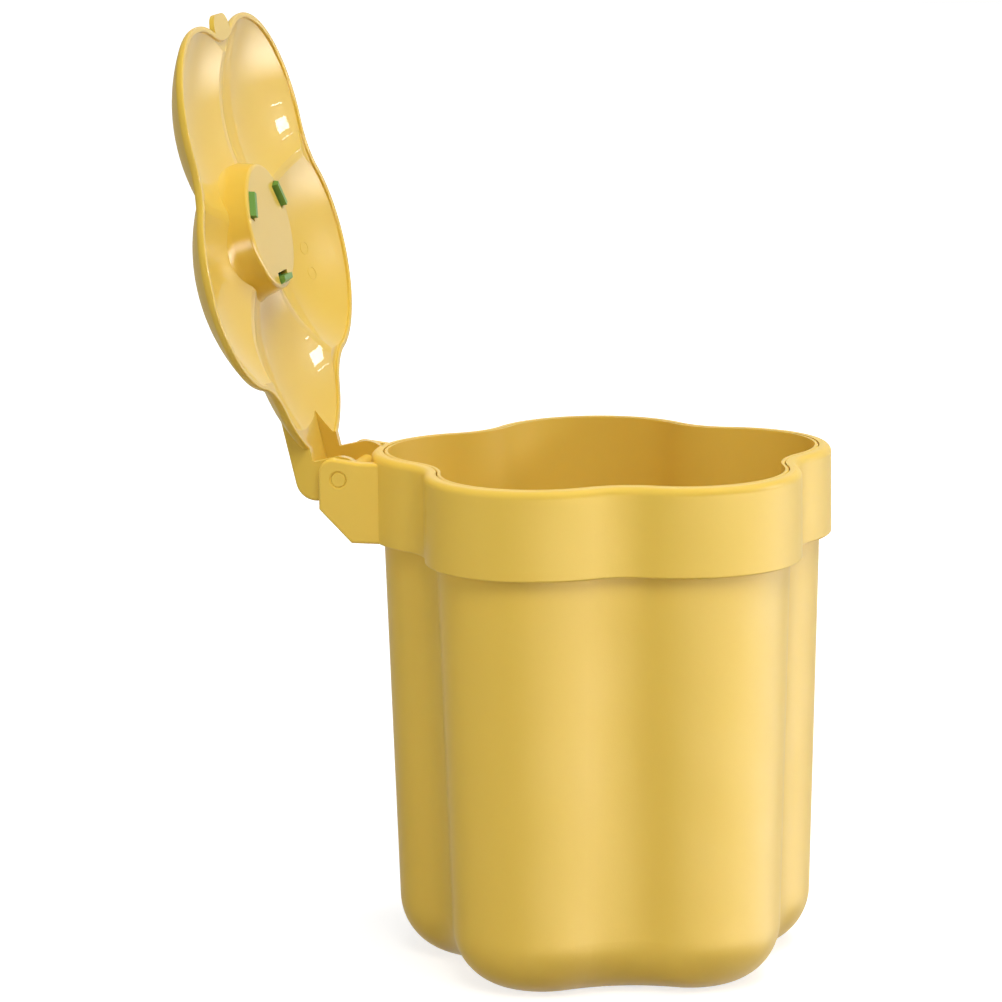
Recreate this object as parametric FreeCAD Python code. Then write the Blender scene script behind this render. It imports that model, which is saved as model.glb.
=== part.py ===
import FreeCAD, Part
import math
import os

# Desk wastebasket: a five-lobed bin, a top ring with a hinge bracket, and a
# petalled lid with a clipped-in flower centre. Millimetres, +Z up, origin at
# the centre of the base. The hinge is at +Y and the finger tab at -Y.

# Five-lobed outline, measured on the outside of the top ring
LOBE_COUNT = 5
LOBE_DISTANCE = 37.7      # bin axis to the centre of each lobe
LOBE_RADIUS = 34.1
VALLEY_RADIUS = 20.6      # rounding of the hollow between two lobes

# Bin
BIN_HEIGHT = 155.9
BIN_WALL = 2.2
BIN_DRAFT = math.radians(1.74)
BIN_INSET = 3.6           # bin wall behind the ring's outside, at the ring's lower edge
BASE_ROUNDING = 18.3
RIM_STEP = 3.0            # height of the thin lip that stands inside the ring
RIM_LIP_INSET = 3.9       # outside of that lip behind the ring's outside
RIM_ROUNDING = 0.5
BASE_LAP = 1.0            # flat part of the base that belongs to the wall's section

# Top ring
RING_HEIGHT = 26.8
RING_WALL = 2.2
RING_LIP_ROUNDING = 2.2
RING_EDGE_ROUNDING = 0.6
RING_CLEARANCE = 0.3      # ring to the bin's lip

# Hinge
HINGE_OUT = 6.4           # hinge axis behind the ring's outside
HINGE_BELOW_RIM = 7.4
OPEN_ANGLE = 103.4        # lid from closed to its stop, in degrees
PIN_RADIUS = 2.3
PIN_CLEARANCE = 0.06      # pin in the bracket's ears
PIN_CHAMFER = 0.3
PIN_RECESS = 0.2          # pin end behind the ear's outside
HOLE_CHAMFER = 0.5
STOP_CLEARANCE = 0.03     # open lid over the sloping back's upper edge

# Hinge bracket on the ring
BRACKET_WIDTH = 39.0
EAR_THICKNESS = 3.3
EAR_BELOW_RIM = 1.2
EAR_FALL = 1.0            # the ear's upper edge falls by this towards the ring
EAR_REAR = 6.3            # ear's rear edge behind the hinge axis
EAR_CORNER = 4.3
EAR_EDGE_ROUNDING = 1.0
BRACKET_FLOOR = 2.6       # level floor behind the ring's outside, before the sloping back
BRACKET_BACK = 2.5        # thickness of that floor and of the sloping back

# Lid, drawn closed with its rim at height 0
LID_LIFT = 0.1            # lid rim over the ring when closed
LID_INSET = 0.2           # petals' rim behind the ring's outside
VALLEY_INSET = 0.25       # the same in the hollows between the petals
LID_WALL = 1.8
LID_SKIRT = 0.7           # upright part of the rim
LID_EDGE = 0.4            # rounding inside, between the rim and a petal
PETAL_SLOPE = math.radians(34.0)   # at the rim; a petal is level in its middle
VALLEY_DEPTH = 12.0       # how far the rounded valley edge runs in from the rim
RIM_EDGE_ROUNDING = 0.5
CREASE_WIDTH = 3.0        # hollow band along the groove between two petals
CREASE_HOLLOW = 0.1       # how far that band is curved in
CREASE_DEPTH = 2.0        # how far its body reaches into the petals
CREASE_LAP = 1.3          # its arc runs this much further round than it shows

# Cup in the middle of the lid
CUP_FLOOR_RADIUS = 19.5
CUP_FLOOR = 2.0
CUP_WALL = 2.0
CUP_LEAN = math.radians(15.0)
CUP_EDGE = 1.2
CUP_FILLET = 6.0          # blend between the cup and the petals' undersides

# Flower centre and its clips
CENTRE_CLEARANCE = 0.4
CENTRE_WALL = 1.8
CENTRE_SKIRT = 7.0
CENTRE_DOME = 6.0
CLIP_COUNT = 3
CLIP_INSET = 0.25         # outside of each clip's leg behind the centre's outside
CLIP_ROOT = 4.0           # how far the leg runs up inside the centre
CLIP_WIDTH = 8.0
CLIP_THICKNESS = 1.6
CLIP_BARB = 0.9
CLIP_BARB_HEIGHT = 1.6
BARB_CLEARANCE = 0.03     # barb under the cup's floor
SLOT_CLEARANCE = 0.5
SLOT_RELIEF = 1.2         # room for the clip to bend inwards

# Neck that joins the lid to the hinge
NECK_HEIGHT = 7.1
NECK_REAR = 5.5           # neck's rear face behind the hinge axis, lid closed
NECK_HEEL = 6.5           # rounding at the back of the neck
NECK_WALL = 2.5
NECK_TOP_WALL = 2.2
NECK_SIDE_CLEARANCE = 0.3
NECK_EDGE_ROUNDING = 1.0
NECK_LAP = 16.8           # how far the neck runs into the rear petal
LUG_ROOM = 1.0            # round end of the side walls outside the rear face

# Finger tab at the front of the lid
TAB_WIDTH = 15.0
TAB_REACH = 6.5           # past the rim in the valley
TAB_THICKNESS = 1.6
TAB_CORNER = 5.0
TAB_ROOT = 4.0

CUT_MARGIN = 1.0          # how far cutting shapes stand past what they cut
SAME_PLACE = 0.01         # for finding edges by where they lie
UP = FreeCAD.Vector(0, 0, 1)
SIDEWAYS = FreeCAD.Vector(1, 0, 0)
ORIGIN = FreeCAD.Vector(0, 0, 0)

half_step = math.pi / LOBE_COUNT
ring_rear = LOBE_DISTANCE + LOBE_RADIUS
ring_bottom = BIN_HEIGHT - RING_HEIGHT
rim_ledge = BIN_HEIGHT - RIM_STEP
hinge_y = ring_rear + HINGE_OUT
hinge_z = BIN_HEIGHT - HINGE_BELOW_RIM
hinge_point = FreeCAD.Vector(0, hinge_y, hinge_z)
hinge_below_lid = HINGE_BELOW_RIM + LID_LIFT
slope_start = ring_rear + BRACKET_FLOOR
ear_rear = hinge_y + EAR_REAR
ear_inside = BRACKET_WIDTH / 2 - EAR_THICKNESS
lid_rim = BIN_HEIGHT + LID_LIFT
lid_edge = LID_EDGE + LID_WALL
neck_half = ear_inside - NECK_SIDE_CLEARANCE
neck_rear = hinge_y + NECK_REAR
neck_start = ring_rear - NECK_LAP
lug_radius = NECK_REAR + LUG_ROOM

# A petal's round top: its radius, and the heights of its centre and its top
dome_radius = (LOBE_RADIUS - LID_INSET - lid_edge) / math.sin(PETAL_SLOPE) + lid_edge
dome_centre = LID_SKIRT + (lid_edge - dome_radius) * math.cos(PETAL_SLOPE)
dome_top = dome_centre + dome_radius

# Centre of the rounding between two lobes, and how far round each arc runs
valley_centre = LOBE_DISTANCE * math.cos(half_step) + math.sqrt(
    (LOBE_RADIUS + VALLEY_RADIUS) ** 2 - (LOBE_DISTANCE * math.sin(half_step)) ** 2)
lobe_half_angle = math.atan2(
    valley_centre * math.sin(half_step),
    valley_centre * math.cos(half_step) - LOBE_DISTANCE)
valley_half_angle = lobe_half_angle - half_step


def polar(radius, angle, z=0.0):
    return FreeCAD.Vector(radius * math.cos(angle), radius * math.sin(angle), z)


def lobe_angles():
    return [math.pi / 2 + 2 * half_step * i for i in range(LOBE_COUNT)]


def valley_angles():
    return [angle + half_step for angle in lobe_angles()]


def face_from(steps, place):
    # A step is an end point, or (point on an arc, end point)
    edges = []
    start = steps[-1][-1]
    for step in steps:
        end = step[-1]
        if len(step) == 2:
            edges.append(Part.Arc(place(start), place(step[0]), place(end)).toShape())
        else:
            edges.append(Part.makeLine(place(start), place(end)))
        start = end
    return Part.Face(Part.Wire(edges))


def upright(point):
    # Places (distance, height) in the plane of X and Z
    return FreeCAD.Vector(point[0], 0, point[1])


def on_arc(centre, radius, degrees):
    angle = math.radians(degrees)
    return (centre[0] + radius * math.cos(angle), centre[1] + radius * math.sin(angle))


def arc_step(centre, radius, start, end):
    # Step along an arc about a centre, between two angles in degrees
    return (on_arc(centre, radius, (start + end) / 2), on_arc(centre, radius, end))


def lobe_sector(section, angle):
    # Sweeps a section of (inset, height) round one lobe
    start = angle - lobe_half_angle
    centre = polar(LOBE_DISTANCE, angle)
    face = section.copy()
    face.rotate(ORIGIN, UP, math.degrees(start + math.pi))
    face.translate(centre + polar(LOBE_RADIUS, start))
    return face.revolve(centre, UP, math.degrees(2 * lobe_half_angle))


def valley_sector(section, angle):
    # Sweeps a section of (inset, height) round the hollow between two lobes
    start = angle + math.pi - valley_half_angle
    centre = polar(valley_centre, angle)
    face = section.copy()
    face.rotate(ORIGIN, UP, math.degrees(start))
    face.translate(centre + polar(VALLEY_RADIUS, start))
    return face.revolve(centre, UP, math.degrees(2 * valley_half_angle))


def fused(solids):
    return solids[0].fuse(solids[1:]).removeSplitter()


def flower_ring(section):
    sectors = [lobe_sector(section, angle) for angle in lobe_angles()]
    sectors += [valley_sector(section, angle) for angle in valley_angles()]
    return fused(sectors)


def flower_plate(inset, bottom, top):
    edges = []
    lobe_radius = LOBE_RADIUS - inset
    valley_radius = VALLEY_RADIUS + inset
    for angle in lobe_angles():
        lobe = polar(LOBE_DISTANCE, angle, bottom)
        valley = polar(valley_centre, angle + half_step, bottom)
        inward = angle + half_step + math.pi
        start = lobe + polar(lobe_radius, angle - lobe_half_angle)
        turn = lobe + polar(lobe_radius, angle + lobe_half_angle)
        end = valley + polar(valley_radius, inward - valley_half_angle)
        edges.append(Part.Arc(start, lobe + polar(lobe_radius, angle), turn).toShape())
        edges.append(Part.Arc(turn, valley + polar(valley_radius, inward), end).toShape())
    return Part.Face(Part.Wire(edges)).extrude(UP * (top - bottom))


def turned_solid(steps):
    # Full turn of an outline of (radius, height) about the bin's axis
    return face_from(steps, upright).revolve(ORIGIN, UP, 360)


def across(steps, half_width):
    # An outline of (y, z) extruded evenly to both sides
    face = face_from(steps, lambda point: FreeCAD.Vector(-half_width, point[0], point[1]))
    return face.extrude(SIDEWAYS * (2 * half_width))


def bin_outside_inset(z):
    return BIN_INSET + (ring_bottom - z) * math.tan(BIN_DRAFT)


def make_bin():
    draft = math.degrees(BIN_DRAFT)
    foot_inset = bin_outside_inset(0) + BASE_ROUNDING * (1 - math.sin(BIN_DRAFT)) / math.cos(BIN_DRAFT)
    foot = (foot_inset, BASE_ROUNDING)
    base_end = foot_inset + BASE_LAP
    lip_top_inset = bin_outside_inset(BIN_HEIGHT) + BIN_WALL / math.cos(BIN_DRAFT)
    lip_corner = (RIM_LIP_INSET + RIM_ROUNDING, BIN_HEIGHT - RIM_ROUNDING)
    section = face_from([
        (on_arc(foot, BASE_ROUNDING, 180 + draft),),
        arc_step(foot, BASE_ROUNDING, 180 + draft, 270),
        ((base_end, 0),),
        ((base_end, BIN_WALL),),
        ((foot_inset, BIN_WALL),),
        arc_step(foot, BASE_ROUNDING - BIN_WALL, 270, 180 + draft),
        ((lip_top_inset, BIN_HEIGHT),),
        ((lip_corner[0], BIN_HEIGHT),),
        arc_step(lip_corner, RIM_ROUNDING, 90, 180),
        ((RIM_LIP_INSET, rim_ledge),),
        ((bin_outside_inset(rim_ledge), rim_ledge),)], upright)
    return fused([flower_ring(section), flower_plate(base_end, 0, BIN_WALL)])


def ear_outline():
    top = BIN_HEIGHT - EAR_BELOW_RIM
    corner = (ear_rear - EAR_CORNER, top - EAR_CORNER)
    return [
        ((LOBE_DISTANCE, ring_bottom),),
        ((slope_start, ring_bottom),),
        ((ear_rear, ring_bottom + ear_rear - slope_start),),
        ((ear_rear, corner[1]),),
        arc_step(corner, EAR_CORNER, 0, 90),
        ((ring_rear, top - EAR_FALL),),
        ((LOBE_DISTANCE, top - EAR_FALL),)]


def ear_edges(block):
    # Edges round the outside of both ears, except where they run into the ring
    chosen = []
    for edge in block.Edges:
        middle = edge.valueAt((edge.FirstParameter + edge.LastParameter) / 2)
        on_side = abs(abs(middle.x) - BRACKET_WIDTH / 2) < SAME_PLACE
        reach = max(vertex.Point.y for vertex in edge.Vertexes)
        if on_side and reach > LOBE_DISTANCE + CUT_MARGIN:
            chosen.append(edge)
    return chosen


def slot_outline():
    # Everything between the ears, which the sloping back then closes again
    bottom = ring_bottom - CUT_MARGIN
    top = BIN_HEIGHT + CUT_MARGIN
    rear = ear_rear + CUT_MARGIN
    return [
        ((LOBE_DISTANCE, bottom),),
        ((rear, bottom),),
        ((rear, top),),
        ((LOBE_DISTANCE, top),)]


def stop_height(y):
    # Height of the neck's rear face at a place behind the hinge, lid open
    angle = math.radians(OPEN_ANGLE)
    reach = NECK_REAR + STOP_CLEARANCE
    near_y = hinge_y + reach * math.cos(angle)
    near_z = hinge_z - reach * math.sin(angle)
    return near_z + (y - near_y) / math.tan(angle)


def bracket_back():
    # Floor and sloping back between the ears; its upper edge is the lid's stop
    front = ear_rear - BRACKET_BACK
    floor = ring_bottom + BRACKET_BACK
    inner_start = slope_start + BRACKET_BACK * (1 - math.sqrt(2))
    return across([
        ((LOBE_DISTANCE, ring_bottom),),
        ((slope_start, ring_bottom),),
        ((ear_rear, ring_bottom + ear_rear - slope_start),),
        ((ear_rear, stop_height(ear_rear)),),
        ((front, stop_height(front)),),
        ((front, floor + front - inner_start),),
        ((inner_start, floor),),
        ((LOBE_DISTANCE, floor),)], ear_inside)


def hinge_rod(radius, half_length, z):
    start = FreeCAD.Vector(-half_length, hinge_y, z)
    return Part.makeCylinder(radius, 2 * half_length, start, SIDEWAYS)


def pin_hole():
    # Running hole through both ears, with a chamfered mouth on each outside
    radius = PIN_RADIUS + PIN_CLEARANCE
    hole = hinge_rod(radius, BRACKET_WIDTH / 2 + CUT_MARGIN, hinge_z)
    for side in (-1, 1):
        mouth = hinge_point + SIDEWAYS * (side * BRACKET_WIDTH / 2)
        hole = hole.fuse(Part.makeCone(
            radius + HOLE_CHAMFER, radius, HOLE_CHAMFER, mouth, SIDEWAYS * -side))
    return hole


def make_ring():
    lip = (RING_LIP_ROUNDING, BIN_HEIGHT - RING_LIP_ROUNDING)
    edge = (RING_EDGE_ROUNDING, ring_bottom + RING_EDGE_ROUNDING)
    flange = RIM_LIP_INSET - RING_CLEARANCE
    section = face_from([
        ((RING_WALL, ring_bottom),),
        ((RING_WALL, rim_ledge),),
        ((flange, rim_ledge),),
        ((flange, BIN_HEIGHT),),
        ((lip[0], BIN_HEIGHT),),
        arc_step(lip, RING_LIP_ROUNDING, 90, 180),
        ((0, edge[1]),),
        arc_step(edge, RING_EDGE_ROUNDING, 180, 270)], upright)
    ears = across(ear_outline(), BRACKET_WIDTH / 2)
    ears = ears.makeFillet(EAR_EDGE_ROUNDING, ear_edges(ears))
    ears = ears.cut(across(slot_outline(), ear_inside))
    bracket = ears.fuse(bracket_back())
    bracket = bracket.cut(flower_plate(RING_WALL / 2, ring_bottom, BIN_HEIGHT))
    return fused([flower_ring(section), bracket]).cut(pin_hole())


def make_pin():
    half_length = BRACKET_WIDTH / 2 - PIN_RECESS
    pin = hinge_rod(PIN_RADIUS, half_length, hinge_z)
    ends = [edge for edge in pin.Edges
            if abs(abs(edge.CenterOfMass.x) - half_length) < SAME_PLACE]
    return pin.makeChamfer(PIN_CHAMFER, ends)


def rim_steps(rim, outwards):
    # Rounded lower corner of the lid's rim, as (distance, height) steps from the
    # rim's lower face up its outside or its inside
    corner = (rim - outwards * RIM_EDGE_ROUNDING, RIM_EDGE_ROUNDING)
    if outwards > 0:
        return [((corner[0], 0),), arc_step(corner, RIM_EDGE_ROUNDING, -90, 0)]
    return [((corner[0], 0),), arc_step(corner, RIM_EDGE_ROUNDING, 270, 180)]


def petal_solid(angle, wall):
    # One petal as a full round pillow; with a wall, the hollow inside that pillow
    rim = LOBE_RADIUS - LID_INSET
    edge_centre = (rim - lid_edge, LID_SKIRT)
    edge_end = 90 - math.degrees(PETAL_SLOPE)
    if wall:
        flare = rim - wall + RIM_EDGE_ROUNDING
        lower = [((0, -CUT_MARGIN),), ((flare, -CUT_MARGIN),)] + rim_steps(rim - wall, -1)
    else:
        lower = [((0, 0),)] + rim_steps(rim, 1)
    petal = turned_solid(lower + [
        ((rim - wall, LID_SKIRT),),
        arc_step(edge_centre, lid_edge - wall, 0, edge_end),
        arc_step((0, dome_centre), dome_radius - wall, edge_end, 90)])
    petal.rotate(ORIGIN, UP, math.degrees(angle))
    petal.translate(polar(LOBE_DISTANCE, angle))
    return petal


def valley_solid(angle, wall):
    # Rounded edge of the lid in the hollow between two petals, or its inside
    rim = VALLEY_INSET + wall
    edge_centre = (VALLEY_INSET + lid_edge, LID_SKIRT)
    end = VALLEY_INSET + VALLEY_DEPTH
    if wall:
        flare = rim - RIM_EDGE_ROUNDING
        lower = [((end, -CUT_MARGIN),), ((flare, -CUT_MARGIN),)] + rim_steps(rim, 1)
    else:
        lower = [((end, 0),)] + rim_steps(rim, -1)
    section = face_from(lower + [
        ((rim, LID_SKIRT),),
        arc_step(edge_centre, lid_edge - wall, 180, 90),
        ((end, LID_SKIRT + lid_edge - wall),)], upright)
    return valley_sector(section, angle)


def crease_band(angle, wall):
    # Hollow band along the groove between two petals, turned about the line
    # through the centres of their round tops
    half_width = CREASE_WIDTH / 2
    half_gap = LOBE_DISTANCE * math.sin(half_step)
    on_dome = math.sqrt((dome_radius - wall) ** 2 - (half_gap - half_width) ** 2)
    rounding = (half_width ** 2 + CREASE_HOLLOW ** 2) / (2 * CREASE_HOLLOW)
    centre = (0, on_dome - CREASE_HOLLOW + rounding)
    reach = CREASE_LAP * math.degrees(math.asin(half_width / rounding))
    pivot = polar(LOBE_DISTANCE * math.cos(half_step), angle, dome_centre)
    along = polar(1, angle + math.pi / 2)
    band = face_from([
        arc_step(centre, rounding, 270 - reach, 270 + reach),
        ((0, on_dome - CREASE_DEPTH),),
        (on_arc(centre, rounding, 270 - reach),)],
        lambda point: pivot + along * point[0] + UP * point[1])
    return band.revolve(pivot, along, 360)


def petal_body(angle, wall):
    # One petal with the valleys and creases on both its sides; with a wall, its
    # hollow, which goes round the cup
    bottom = -CUT_MARGIN if wall else 0
    room = flower_plate(VALLEY_INSET + (lid_edge + wall) / 2, bottom, dome_top)
    room = room.cut(Part.makeCylinder(pocket_radius(0), 2 * dome_top, UP * -dome_top))
    solids = [petal_solid(angle, wall)]
    for side in (angle - half_step, angle + half_step):
        solids.append(valley_solid(side, wall))
        solids.append(crease_band(side, wall).common(room))
    if wall:
        cup = cup_plug()
        solids = [solid.cut(cup) for solid in solids]
    return solids[0].fuse(solids[1:])


def petal_slice(angle):
    # Wedge from the lid's axis that holds one petal, between two creases
    reach = 2 * ring_rear
    bottom = -CUT_MARGIN
    corners = [polar(0, 0, bottom), polar(reach, angle - half_step, bottom),
               polar(reach, angle + half_step, bottom)]
    face = Part.Face(Part.makePolygon(corners + corners[:1]))
    return face.extrude(UP * (dome_top + 2 * CUT_MARGIN))


def petal_shells():
    # The hollow petals, each up to the creases beside it
    angle = lobe_angles()[0]
    shell = petal_body(angle, 0).cut(petal_body(angle, LID_WALL)).common(petal_slice(angle))
    shells = []
    for i in range(LOBE_COUNT):
        copy = shell.copy()
        copy.rotate(ORIGIN, UP, 360 / LOBE_COUNT * i)
        shells.append(copy)
    return shells


def neck_outside():
    hinge = (hinge_y, -hinge_below_lid)
    heel = (neck_rear - NECK_HEEL, NECK_HEIGHT - NECK_HEEL)
    lug_start = -math.degrees(math.acos(NECK_REAR / lug_radius))
    neck = across([
        ((neck_start, NECK_HEIGHT),),
        ((heel[0], NECK_HEIGHT),),
        arc_step(heel, NECK_HEEL, 90, 0),
        (on_arc(hinge, lug_radius, lug_start),),
        arc_step(hinge, lug_radius, lug_start, -180),
        ((hinge_y - lug_radius, 0),),
        ((neck_start, 0),)], neck_half)
    upper = [edge for edge in neck.Edges
             if abs(abs(edge.CenterOfMass.x) - neck_half) < SAME_PLACE
             and edge.CenterOfMass.z > 0
             and edge.CenterOfMass.y > neck_start + SAME_PLACE]
    return neck.makeFillet(NECK_EDGE_ROUNDING, upper)


def neck_channel():
    # Open underside of the neck between its two side walls
    top = NECK_HEIGHT - NECK_TOP_WALL
    rear = neck_rear - NECK_TOP_WALL
    heel_radius = NECK_HEEL - NECK_TOP_WALL
    heel = (rear - heel_radius, top - heel_radius)
    bottom = -hinge_below_lid - lug_radius - CUT_MARGIN
    return across([
        ((neck_start, bottom),),
        ((neck_start, top),),
        ((heel[0], top),),
        arc_step(heel, heel_radius, 90, 0),
        ((rear, bottom),)], neck_half - NECK_WALL)


def finger_tab():
    valley_rim = valley_centre - VALLEY_RADIUS - VALLEY_INSET
    tip = -valley_rim - TAB_REACH
    root = -valley_rim + TAB_ROOT
    side = TAB_WIDTH / 2
    corner = (side - TAB_CORNER, tip + TAB_CORNER)
    face = face_from([
        ((-side, root),),
        ((-side, corner[1]),),
        arc_step((-corner[0], corner[1]), TAB_CORNER, 180, 270),
        ((corner[0], tip),),
        arc_step(corner, TAB_CORNER, 270, 360),
        ((side, root),)], lambda point: FreeCAD.Vector(point[0], point[1], 0))
    return face.extrude(UP * TAB_THICKNESS)


def cup_radius(height):
    # Outside of the cup's leaning wall
    return CUP_FLOOR_RADIUS + (height - CUP_EDGE) * math.tan(CUP_LEAN)


def pocket_radius(height):
    return cup_radius(height) - CUP_WALL / math.cos(CUP_LEAN)


def cup_plug():
    # Outside of the cup, as it hangs below the petals, with the blend into them
    blend_start = 180 - math.degrees(CUP_LEAN)
    ceiling = dome_top - LID_WALL
    blend_z = ceiling - CUP_FILLET
    wall_end = blend_z + CUP_FILLET * math.sin(CUP_LEAN)
    blend_centre = (cup_radius(wall_end) + CUP_FILLET * math.cos(CUP_LEAN), blend_z)
    edge_centre = (CUP_FLOOR_RADIUS - CUP_EDGE, CUP_EDGE)
    bottom = -2 * CUT_MARGIN
    return turned_solid([
        ((0, bottom),),
        ((edge_centre[0], bottom),),
        ((edge_centre[0], 0),),
        arc_step(edge_centre, CUP_EDGE, 270, 360),
        ((cup_radius(wall_end), wall_end),),
        arc_step(blend_centre, CUP_FILLET, blend_start, 90),
        ((0, ceiling),)])


def cup_pocket():
    top = dome_top + CUT_MARGIN
    return turned_solid([
        ((0, CUP_FLOOR),),
        ((pocket_radius(CUP_FLOOR), CUP_FLOOR),),
        ((pocket_radius(top), top),),
        ((0, top),)])


def centre_radius(height):
    return pocket_radius(height) - CENTRE_CLEARANCE


clip_outside = centre_radius(CUP_FLOOR) - CLIP_INSET
clip_inside = clip_outside - CLIP_THICKNESS


def at_clips(solid):
    # Copies of a piece drawn at +X, round the lid's axis
    copies = []
    for i in range(CLIP_COUNT):
        copy = solid.copy()
        copy.rotate(ORIGIN, UP, 90 + 360 / CLIP_COUNT * i)
        copies.append(copy)
    return copies


def clip_slot():
    inner = clip_inside - SLOT_RELIEF
    outer = clip_outside + SLOT_CLEARANCE
    width = CLIP_WIDTH + 2 * SLOT_CLEARANCE
    corner = FreeCAD.Vector(inner, -width / 2, -CUT_MARGIN)
    return Part.makeBox(outer - inner, width, CUP_FLOOR + 2 * CUT_MARGIN, corner)


def cup_floor_disc():
    return Part.makeCylinder(pocket_radius(0), CUP_FLOOR)


def make_lid():
    rear = lobe_angles()[0]
    front = rear + math.pi
    neck = neck_outside().cut(petal_solid(rear, LID_WALL))
    tab = finger_tab().cut([petal_body(front + side, LID_WALL) for side in (-half_step, half_step)])
    lid = fused(petal_shells() + [cup_floor_disc(), neck, tab])
    pin_bore = hinge_rod(PIN_RADIUS, BRACKET_WIDTH, -hinge_below_lid)
    openings = [cup_pocket(), neck_channel(), pin_bore]
    return opened(lid.cut(openings + at_clips(clip_slot())).removeSplitter())


def clip():
    # Leg through the cup's floor with a barb that hooks under its edge
    top = CUP_FLOOR + CLIP_ROOT
    face = face_from([
        ((clip_inside, top),),
        ((clip_inside, -CLIP_BARB_HEIGHT),),
        ((clip_outside, -CLIP_BARB_HEIGHT),),
        ((clip_outside + CLIP_BARB, -BARB_CLEARANCE),),
        ((clip_outside, -BARB_CLEARANCE),),
        ((clip_outside, top),)],
        lambda point: FreeCAD.Vector(point[0], -CLIP_WIDTH / 2, point[1]))
    return face.extrude(FreeCAD.Vector(0, CLIP_WIDTH, 0))


def centre_shell(wall):
    # Domed button drawn from the cup's floor up, smaller all round by the wall
    shoulder_z = CUP_FLOOR + CENTRE_SKIRT
    shoulder = centre_radius(shoulder_z)
    radius = (shoulder ** 2 + CENTRE_DOME ** 2) / (2 * CENTRE_DOME)
    centre = (0, shoulder_z + CENTRE_DOME - radius)
    start = math.degrees(math.acos((shoulder - wall) / (radius - wall)))
    return turned_solid([
        ((0, CUP_FLOOR),),
        ((centre_radius(CUP_FLOOR) - wall, CUP_FLOOR),),
        (on_arc(centre, radius - wall, start),),
        arc_step(centre, radius - wall, start, 90)])


def make_flower_centre():
    button = centre_shell(0).cut(centre_shell(CENTRE_WALL))
    return opened(fused([button] + at_clips(clip())))


def opened(solid):
    # Sets a lid piece on the ring and swings it open to its stop
    solid.translate(UP * lid_rim)
    solid.rotate(hinge_point, SIDEWAYS, -OPEN_ANGLE)
    return solid


def main():
    pieces = {
        "bin_body": make_bin(),
        "top_ring": make_ring(),
        "hinge_pin": make_pin(),
        "lid": make_lid(),
        "flower_centre": make_flower_centre()}
    os.makedirs("parts", exist_ok=True)
    for name, shape in pieces.items():
        print(name, len(shape.Solids), shape.isValid(), round(shape.Volume))
        shape.Solids[0].exportStep("parts/" + name + ".step")


main()
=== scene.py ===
import bpy
import math
from mathutils import Matrix, Vector


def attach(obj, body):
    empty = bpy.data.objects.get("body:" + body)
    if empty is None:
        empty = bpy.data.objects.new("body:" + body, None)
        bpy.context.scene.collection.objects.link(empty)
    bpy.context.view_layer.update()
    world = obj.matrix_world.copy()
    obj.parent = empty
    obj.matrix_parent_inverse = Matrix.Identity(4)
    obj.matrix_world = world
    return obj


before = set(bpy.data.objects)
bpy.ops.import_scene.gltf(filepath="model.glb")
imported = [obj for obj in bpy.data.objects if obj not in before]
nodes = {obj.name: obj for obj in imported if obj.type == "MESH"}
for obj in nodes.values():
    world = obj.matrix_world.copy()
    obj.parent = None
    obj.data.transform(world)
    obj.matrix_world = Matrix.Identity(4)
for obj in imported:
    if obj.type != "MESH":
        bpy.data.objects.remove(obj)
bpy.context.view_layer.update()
scene = bpy.context.scene
print("frame loaded:", ", ".join(sorted(nodes)))


# shader helpers

def addNode(tree, kind, **settings):
    node = tree.nodes.new(kind)
    for name, value in settings.items():
        setattr(node, name, value)
    return node


def setInputs(node, values):
    for name, value in values.items():
        node.inputs[name].default_value = value
    return node


def link(tree, source, target):
    tree.links.new(source, target)


def feed(tree, socket, value):
    if isinstance(value, (int, float)):
        socket.default_value = value
    else:
        link(tree, value, socket)


def newGroup(name, inputs, outputs):
    group = bpy.data.node_groups.new(name, "ShaderNodeTree")
    for side, sockets in (("INPUT", inputs), ("OUTPUT", outputs)):
        for socketName, kind in sockets:
            group.interface.new_socket(socketName, in_out=side, socket_type=kind)
    return group, group.nodes.new("NodeGroupInput"), group.nodes.new("NodeGroupOutput")


def mathNode(tree, operation, first, second=None, clamp=False):
    node = addNode(tree, "ShaderNodeMath", operation=operation, use_clamp=clamp)
    for socket, value in zip(node.inputs, (first, second)):
        if value is not None:
            feed(tree, socket, value)
    return node.outputs[0]


def noiseNode(tree, vector, scale, detail=2.0, rough=0.5):
    node = addNode(tree, "ShaderNodeTexNoise")
    setInputs(node, {"Detail": detail, "Roughness": rough})
    link(tree, vector, node.inputs["Vector"])
    feed(tree, node.inputs["Scale"], scale)
    return node


def rangeNode(tree, value, fromLow, fromHigh, toLow, toHigh):
    node = addNode(tree, "ShaderNodeMapRange", interpolation_type="SMOOTHSTEP")
    for name, item in (("Value", value), ("From Min", fromLow), ("From Max", fromHigh),
                       ("To Min", toLow), ("To Max", toHigh)):
        feed(tree, node.inputs[name], item)
    return node.outputs["Result"]


def mixNode(tree, factor, first, second):
    node = addNode(tree, "ShaderNodeMix", data_type="FLOAT")
    for index, value in ((0, factor), (2, first), (3, second)):  # the sockets for plain numbers
        feed(tree, node.inputs[index], value)
    return node.outputs[0]


def dotNode(tree, vector, way):
    node = addNode(tree, "ShaderNodeVectorMath", operation="DOT_PRODUCT")
    link(tree, vector, node.inputs[0])
    node.inputs[1].default_value = way
    return node.outputs["Value"]


# fine spark-eroded grain of the mould: bump height and a little roughness change
grainShape = {"fineDetail": 3.0, "fineRough": 0.6, "patchScale": 55.0, "patchDetail": 3.0, "patchRough": 0.55}


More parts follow.
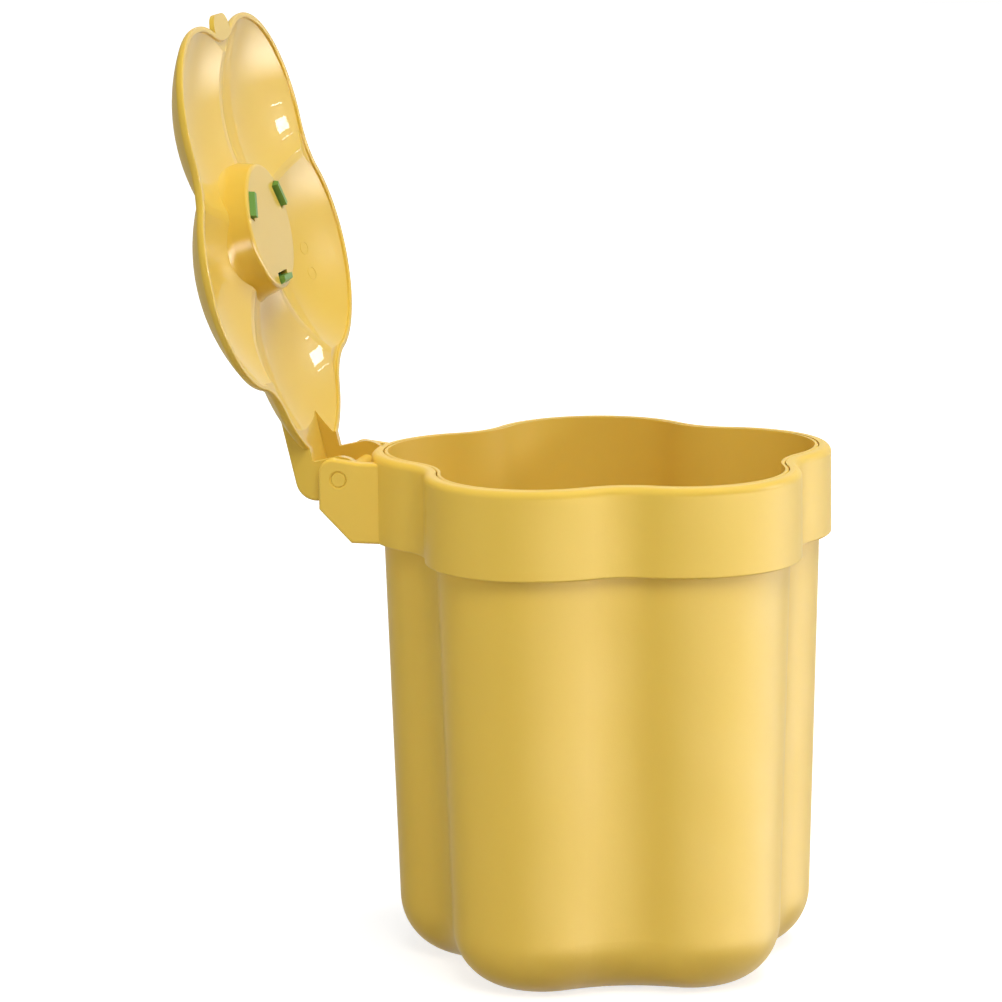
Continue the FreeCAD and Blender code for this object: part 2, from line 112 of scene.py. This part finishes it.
def makeMouldGrain():
    group, start, end = newGroup(
        "mouldGrain",
        [("Vector", "NodeSocketVector"), ("Grain Scale", "NodeSocketFloat"),
         ("Roughness", "NodeSocketFloat"), ("Roughness Change", "NodeSocketFloat")],
        [("Height", "NodeSocketFloat"), ("Roughness", "NodeSocketFloat")])
    vector = start.outputs["Vector"]
    fine = noiseNode(group, vector, start.outputs["Grain Scale"],
                     grainShape["fineDetail"], grainShape["fineRough"])
    patch = noiseNode(group, vector, grainShape["patchScale"],
                      grainShape["patchDetail"], grainShape["patchRough"])
    link(group, fine.outputs["Fac"], end.inputs["Height"])
    offset = mathNode(group, "SUBTRACT", patch.outputs["Fac"], 0.5)
    change = mathNode(group, "MULTIPLY", offset, start.outputs["Roughness Change"])
    change = mathNode(group, "MULTIPLY", change, 2.0)  # offset runs from -0.5 to 0.5
    link(group, mathNode(group, "ADD", start.outputs["Roughness"], change), end.inputs["Roughness"])
    return group


# slow change of tone through a moulding: cloudy pigment and faint flow streaks
driftShape = {"cloudScale": 14.0, "maskLow": 0.1, "maskHigh": 0.45}


def makeToneDrift():
    group, start, end = newGroup(
        "toneDrift",
        [("Vector", "NodeSocketVector"), ("Color", "NodeSocketColor"), ("Deep Color", "NodeSocketColor"),
         ("Amount", "NodeSocketFloat"), ("Streak Stretch", "NodeSocketVector")],
        [("Color", "NodeSocketColor")])
    vector = start.outputs["Vector"]
    cloud = noiseNode(group, vector, driftShape["cloudScale"])
    stretch = addNode(group, "ShaderNodeVectorMath", operation="MULTIPLY")
    link(group, vector, stretch.inputs[0])
    link(group, start.outputs["Streak Stretch"], stretch.inputs[1])
    streak = noiseNode(group, stretch.outputs["Vector"], 1.0)
    both = mathNode(group, "MULTIPLY", cloud.outputs["Fac"], streak.outputs["Fac"])
    mask = rangeNode(group, both, driftShape["maskLow"], driftShape["maskHigh"], 0.0, 1.0)
    mask = mathNode(group, "MULTIPLY", mask, start.outputs["Amount"])
    mix = addNode(group, "ShaderNodeMix", data_type="RGBA")
    link(group, mask, mix.inputs["Factor"])
    link(group, start.outputs["Color"], mix.inputs[6])  # 6, 7 and output 2 carry the colours
    link(group, start.outputs["Deep Color"], mix.inputs[7])
    link(group, mix.outputs[2], end.inputs["Color"])
    return group


# thin rub marks from handling, as a mask that runs one way more than the other
rubShape = {
    "hairDetail": 1.0, "hairLow": 0.68, "hairHigh": 0.76,
    "patchScale": 40.0, "patchLow": 0.5, "patchHigh": 0.7}


def makeRubMarks():
    group, start, end = newGroup(
        "rubMarks",
        [("Vector", "NodeSocketVector"), ("Stretch", "NodeSocketVector"), ("Amount", "NodeSocketFloat")],
        [("Mask", "NodeSocketFloat")])
    stretch = addNode(group, "ShaderNodeVectorMath", operation="MULTIPLY")
    link(group, start.outputs["Vector"], stretch.inputs[0])
    link(group, start.outputs["Stretch"], stretch.inputs[1])
    hair = noiseNode(group, stretch.outputs["Vector"], 1.0, rubShape["hairDetail"])
    thin = rangeNode(group, hair.outputs["Fac"], rubShape["hairLow"], rubShape["hairHigh"], 0.0, 1.0)
    where = noiseNode(group, start.outputs["Vector"], rubShape["patchScale"])
    patch = rangeNode(group, where.outputs["Fac"], rubShape["patchLow"], rubShape["patchHigh"], 0.0, 1.0)
    mask = mathNode(group, "MULTIPLY", thin, patch)
    link(group, mathNode(group, "MULTIPLY", mask, start.outputs["Amount"]), end.inputs["Mask"])
    return group


mouldGrain = makeMouldGrain()
toneDrift = makeToneDrift()
rubMarks = makeRubMarks()
print("shader groups ready")


def useGroup(tree, group, values):
    return setInputs(addNode(tree, "ShaderNodeGroup", node_tree=group), values)


def startMaterial(name):
    material = bpy.data.materials.new(name)
    material.use_nodes = True
    tree = material.node_tree
    shader = tree.nodes["Principled BSDF"]
    coords = addNode(tree, "ShaderNodeTexCoord")
    return material, tree, shader, coords.outputs["Object"]


# one moulded plastic from its dictionary: tone, grain, rub marks
def moulding(name, look):
    material, tree, shader, place = startMaterial(name)
    tone = useGroup(tree, toneDrift, {
        "Color": look["color"], "Deep Color": look["deepColor"], "Amount": look["drift"],
        "Streak Stretch": look["streak"]})
    grain = useGroup(tree, mouldGrain, {
        "Grain Scale": look["grainScale"], "Roughness": look["roughness"],
        "Roughness Change": look["roughnessChange"]})
    rubs = useGroup(tree, rubMarks, {"Stretch": look["rubStretch"], "Amount": look["rubAmount"]})
    for node in (tone, grain, rubs):
        link(tree, place, node.inputs["Vector"])
    link(tree, tone.outputs["Color"], shader.inputs["Base Color"])
    rough = mathNode(tree, "ADD", grain.outputs["Roughness"], rubs.outputs["Mask"], clamp=True)
    link(tree, rough, shader.inputs["Roughness"])
    bump = addNode(tree, "ShaderNodeBump")
    setInputs(bump, {"Strength": look["grainStrength"], "Distance": look["grainDepth"]})
    link(tree, grain.outputs["Height"], bump.inputs["Height"])
    link(tree, bump.outputs["Normal"], shader.inputs["Normal"])
    setInputs(shader, {
        "IOR": look["ior"], "Subsurface Weight": look["glow"],
        "Subsurface Radius": look["glowRadius"], "Subsurface Scale": look["glowScale"]})
    return material


def paint(nodeName, material):
    slots = nodes[nodeName].data.materials
    slots.clear()
    slots.append(material)


yellow = {
    "color": (0.81, 0.55, 0.085, 1), "deepColor": (0.77, 0.50, 0.065, 1), "drift": 0.3,
    "streak": (60.0, 60.0, 4.0), "grainScale": 2600.0, "grainStrength": 0.12, "grainDepth": 0.0002,
    "roughness": 0.42, "roughnessChange": 0.05, "rubStretch": (900.0, 900.0, 60.0), "rubAmount": 0.08,
    "ior": 1.49, "glow": 0.15, "glowRadius": (1.0, 0.6, 0.2), "glowScale": 0.002}
green = dict(yellow, color=(0.13, 0.28, 0.045, 1), deepColor=(0.09, 0.21, 0.03, 1), glow=0.05)

paint("bin_body", moulding("binYellow", yellow))
paint("top_ring", moulding("ringYellow", yellow))
paint("hinge_pin", moulding("pinYellow", yellow))
paint("flower_centre", moulding("centreGreen", green))


# lid: satin all over, with a polish on the underside that leaves a spot round the ejector marks
# the lid's colour and deep colour are a darker copy of the bin's yellow: painted shade that offsets the
# stronger light falling on the lid
lidLook = dict(
    yellow, color=(0.71, 0.48, 0.068, 1), deepColor=(0.67, 0.43, 0.052, 1), grainStrength=0.05,
    rubAmount=0.0, shine=0.3, polish=0.55, polishRoughness=0.03,
    underside=(0.0, -0.973, 0.232), edge=0.25,  # way the underside faces, and where the polish is full
    spot=(0.0525, 0.1075, 0.2048), spotInner=0.008, spotOuter=0.036)


def lidMoulding():
    material = moulding("lidYellow", lidLook)
    tree = material.node_tree
    shader = tree.nodes["Principled BSDF"]
    coords = addNode(tree, "ShaderNodeTexCoord").outputs
    facing = dotNode(tree, coords["Normal"], lidLook["underside"])
    under = rangeNode(tree, facing, 0.0, lidLook["edge"], 0.0, 1.0)
    away = addNode(tree, "ShaderNodeVectorMath", operation="DISTANCE")
    link(tree, coords["Object"], away.inputs[0])
    away.inputs[1].default_value = lidLook["spot"]
    clear = rangeNode(tree, away.outputs["Value"], lidLook["spotInner"], lidLook["spotOuter"], 0.0, 1.0)
    polish = mathNode(tree, "MULTIPLY", under, clear)
    polish = mathNode(tree, "MULTIPLY", polish, lidLook["polish"])
    link(tree, polish, shader.inputs["Coat Weight"])
    setInputs(shader, {"Coat Roughness": lidLook["polishRoughness"], "Specular IOR Level": lidLook["shine"]})
    return material


yellowLid = lidMoulding()
paint("lid", yellowLid)
print("mouldings painted")


# ejector marks: fine raised rings that follow the underside of one petal
pinLook = {
    "middles": ((0.0526, 0.10875, 0.2087), (0.0523, 0.1062, 0.2009)),
    "ringRadius": 0.002, "lineRadius": 0.00012, "ringPoints": 48, "linePoints": 8}


def pinMarksTree():
    tree = bpy.data.node_groups.new("pinMarks", "GeometryNodeTree")
    for name, kind in (("Geometry", "NodeSocketGeometry"), ("Lid", "NodeSocketObject"),
                       ("Ring Radius", "NodeSocketFloat"), ("Line Radius", "NodeSocketFloat"),
                       ("Ring Points", "NodeSocketInt"), ("Line Points", "NodeSocketInt"),
                       ("Material", "NodeSocketMaterial")):
        tree.interface.new_socket(name, in_out="INPUT", socket_type=kind)
    tree.interface.new_socket("Geometry", in_out="OUTPUT", socket_type="NodeSocketGeometry")
    start = addNode(tree, "NodeGroupInput").outputs
    lid = addNode(tree, "GeometryNodeObjectInfo")
    link(tree, start["Lid"], lid.inputs["Object"])

    def circle(points, radius):
        node = addNode(tree, "GeometryNodeCurvePrimitiveCircle")
        link(tree, start[points], node.inputs["Resolution"])
        link(tree, start[radius], node.inputs["Radius"])
        return node.outputs["Curve"]

    # each ring is turned to the surface it stands on
    surface = addNode(tree, "GeometryNodeSampleNearestSurface", data_type="FLOAT_VECTOR")
    link(tree, lid.outputs["Geometry"], surface.inputs["Mesh"])
    link(tree, addNode(tree, "GeometryNodeInputNormal").outputs["Normal"], surface.inputs["Value"])
    turn = addNode(tree, "FunctionNodeAlignRotationToVector", axis="Z")
    link(tree, surface.outputs["Value"], turn.inputs["Vector"])
    rings = addNode(tree, "GeometryNodeInstanceOnPoints")
    link(tree, start["Geometry"], rings.inputs["Points"])
    link(tree, circle("Ring Points", "Ring Radius"), rings.inputs["Instance"])
    link(tree, turn.outputs["Rotation"], rings.inputs["Rotation"])
    real = addNode(tree, "GeometryNodeRealizeInstances")
    link(tree, rings.outputs["Instances"], real.inputs["Geometry"])

    # and then laid on it point by point
    nearest = addNode(tree, "GeometryNodeProximity", target_element="FACES")
    link(tree, lid.outputs["Geometry"], nearest.inputs["Geometry"])
    seat = addNode(tree, "GeometryNodeSetPosition")
    link(tree, real.outputs["Geometry"], seat.inputs["Geometry"])
    link(tree, nearest.outputs["Position"], seat.inputs["Position"])
    tube = addNode(tree, "GeometryNodeCurveToMesh")
    link(tree, seat.outputs["Geometry"], tube.inputs["Curve"])
    link(tree, circle("Line Points", "Line Radius"), tube.inputs["Profile Curve"])
    coat = addNode(tree, "GeometryNodeSetMaterial")
    link(tree, tube.outputs["Mesh"], coat.inputs["Geometry"])
    link(tree, start["Material"], coat.inputs["Material"])
    link(tree, coat.outputs["Geometry"], addNode(tree, "NodeGroupOutput").inputs["Geometry"])
    return tree


def makePinMarks():
    points = bpy.data.meshes.new("pinMiddles")
    points.from_pydata(pinLook["middles"], [], [])
    marks = bpy.data.objects.new("pinMarks", points)
    scene.collection.objects.link(marks)
    modifier = marks.modifiers.new("pinMarks", "NODES")
    tree = pinMarksTree()
    modifier.node_group = tree
    values = {
        "Lid": nodes["lid"], "Ring Radius": pinLook["ringRadius"], "Line Radius": pinLook["lineRadius"],
        "Ring Points": pinLook["ringPoints"], "Line Points": pinLook["linePoints"], "Material": yellowLid}
    for socket in tree.interface.items_tree:
        if socket.in_out == "INPUT" and socket.name in values:
            modifier[socket.identifier] = values[socket.name]
    shape = marks.evaluated_get(bpy.context.evaluated_depsgraph_get())
    mesh = bpy.data.meshes.new_from_object(shape)
    marks.modifiers.clear()
    marks.data = mesh
    mesh.name = "pinMarks"
    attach(marks, "lid")
    print("ejector marks:", len(mesh.polygons), "faces")


makePinMarks()


# camera at the photo's standpoint
view = {
    "azimuth": -75.57, "elevation": 10.31, "roll": -0.66, "distance": 1.7718,
    "target": (-0.00783, 0.03043, 0.14163), "lens": 210.65, "sensor": 36.0, "clipEnd": 20.0}


def makeCamera():
    azimuth = math.radians(view["azimuth"])
    elevation = math.radians(view["elevation"])
    back = Vector((math.sin(azimuth) * math.cos(elevation),
                   -math.cos(azimuth) * math.cos(elevation), math.sin(elevation)))
    data = bpy.data.cameras.new("photoCamera")
    data.lens = view["lens"]
    data.sensor_width = view["sensor"]
    data.clip_end = view["clipEnd"]
    camera = bpy.data.objects.new("photoCamera", data)
    scene.collection.objects.link(camera)
    level = (-back).to_track_quat("-Z", "Y").to_matrix()
    turn = Matrix.Rotation(math.radians(view["roll"]), 3, "Z")
    eye = Matrix.Translation(Vector(view["target"]) + back * view["distance"])
    camera.matrix_world = eye @ (level @ turn).to_4x4()
    scene.camera = camera
    return back


back = makeCamera()  # direction from the bin to the camera
across = Vector((-back.y, back.x, 0)).normalized()  # towards the right of the picture
print("camera placed")


# white sweep: a floor that shows white to the camera but keeps a shadow
# the lift grows with the distance from the bin, where the lamps reach the floor less
floorLook = {
    "halfSize": 3.0, "color": (0.55, 0.545, 0.535, 1), "roughness": 0.9,
    "nearLift": 0.74, "farLift": 1.0, "nearReach": 0.2, "farReach": 1.0}


def makeFloor():
    half = floorLook["halfSize"]
    mesh = bpy.data.meshes.new("floor")
    corners = [(-half, -half, 0), (half, -half, 0), (half, half, 0), (-half, half, 0)]
    mesh.from_pydata(corners, [], [(0, 1, 2, 3)])
    floor = bpy.data.objects.new("floor", mesh)
    scene.collection.objects.link(floor)
    floor.visible_glossy = False  # reflections show the world's table instead
    material, tree, shader, place = startMaterial("floorWhite")
    setInputs(shader, {
        "Base Color": floorLook["color"], "Roughness": floorLook["roughness"],
        "Emission Color": (1, 1, 1, 1)})
    away = addNode(tree, "ShaderNodeVectorMath", operation="LENGTH")
    link(tree, place, away.inputs[0])
    lift = rangeNode(tree, away.outputs["Value"], floorLook["nearReach"], floorLook["farReach"],
                     floorLook["nearLift"], floorLook["farLift"])
    rays = addNode(tree, "ShaderNodeLightPath")
    seen = mathNode(tree, "MULTIPLY", rays.outputs["Is Camera Ray"], lift)
    link(tree, seen, shader.inputs["Emission Strength"])
    mesh.materials.append(material)


makeFloor()


# world: white behind the bin, plain as a light, and in reflections
# a white room that is dark on the left with a table that is lit on the right
worldLook = {
    "light": 0.17, "roomDark": 0.05, "roomWhite": 1.00, "roomWay": (0.80, 0.10, -0.60),
    "roomFrom": -0.3, "roomTo": 0.5, "tableWhite": 16.5, "tableWay": (0.80, 0.00, 0.60),
    "tableFrom": 0.0, "tableTo": 1.1, "tableHeight": -0.27, "tableHalf": 0.22}


def pictureWay(way):
    # direction from parts to the right in the picture, up and towards the camera
    near = Vector((back.x, back.y, 0)).normalized()
    return (across * way[0] + Vector((0, 0, way[1])) + near * way[2]).normalized()


def makeWorld():
    world = bpy.data.worlds.new("studio")
    scene.world = world
    world.use_nodes = True
    tree = world.node_tree
    backdrop = tree.nodes["Background"]
    setInputs(backdrop, {"Color": (1, 1, 1, 1)})
    way = addNode(tree, "ShaderNodeTexCoord").outputs["Generated"]
    room = rangeNode(tree, dotNode(tree, way, pictureWay(worldLook["roomWay"])), worldLook["roomFrom"],
                     worldLook["roomTo"], worldLook["roomDark"], worldLook["roomWhite"])
    table = rangeNode(tree, dotNode(tree, way, pictureWay(worldLook["tableWay"])), worldLook["tableFrom"],
                      worldLook["tableTo"], 0.0, worldLook["tableWhite"])
    height = mathNode(tree, "SUBTRACT", dotNode(tree, way, (0, 0, 1)), worldLook["tableHeight"])
    height = mathNode(tree, "ABSOLUTE", height)
    band = rangeNode(tree, height, 0.0, worldLook["tableHalf"], 1.0, 0.0)
    mirrored = mathNode(tree, "ADD", room, mathNode(tree, "MULTIPLY", table, band))
    rays = addNode(tree, "ShaderNodeLightPath")
    strength = mixNode(tree, rays.outputs["Is Glossy Ray"], worldLook["light"], mirrored)
    seen = mathNode(tree, "MAXIMUM", rays.outputs["Is Camera Ray"], rays.outputs["Is Transmission Ray"])
    link(tree, mixNode(tree, seen, strength, 1.0), backdrop.inputs["Strength"])


makeWorld()


# lamps by their direction from the bin: panels that light it, and a window that shows in reflections
# level: share of white that a panel gives to a white surface facing it
lampLooks = {
    "topPanel": {"way": (0.35, 1.00, 0.05), "distance": 1.4, "size": 0.6, "level": 0.48},
    "frontPanel": {"way": (0.10, 0.75, 0.70), "distance": 2.0, "size": 1.0, "level": 0.54},
    "leftPanel": {"way": (-0.85, 0.10, 0.40), "distance": 1.6, "size": 1.0, "level": 0.32},
    "rightPanel": {"way": (0.95, 0.29, -0.10), "distance": 2.0, "size": 0.5, "level": 0.18}}
windowLook = {
    "way": (0.95, 0.29, -0.10), "distance": 2.0, "width": 0.36, "level": 0.37,
    "panes": ((-0.17, 0.20), (0.06, 0.20), (0.22, 0.08))}  # middle and height of each pane


def makeLamp(name, way, distance, width, height, level, mirrored, lift=0.0):
    data = bpy.data.lights.new(name, "AREA")
    data.shape = "RECTANGLE"
    data.size = width
    data.size_y = height
    data.energy = level * (math.pi * distance) ** 2
    lamp = bpy.data.objects.new(name, data)
    scene.collection.objects.link(lamp)
    lamp.visible_glossy = mirrored
    lamp.visible_diffuse = not mirrored
    aim = pictureWay(way)
    turn = aim.to_track_quat("Z", "Y")
    lamp.location = Vector(view["target"]) + aim * distance + turn @ Vector((0, lift, 0))
    lamp.rotation_mode = "QUATERNION"
    lamp.rotation_quaternion = turn


for name, look in lampLooks.items():
    makeLamp(name, look["way"], look["distance"], look["size"], look["size"], look["level"],
             mirrored=False)

glass = sum(height for middle, height in windowLook["panes"])
for i, (middle, height) in enumerate(windowLook["panes"]):
    makeLamp("windowPane%d" % i, windowLook["way"], windowLook["distance"], windowLook["width"], height,
             windowLook["level"] * height / glass, mirrored=True, lift=middle)
print("floor, world and lamps ready")

scene.view_settings.view_transform = "Standard"
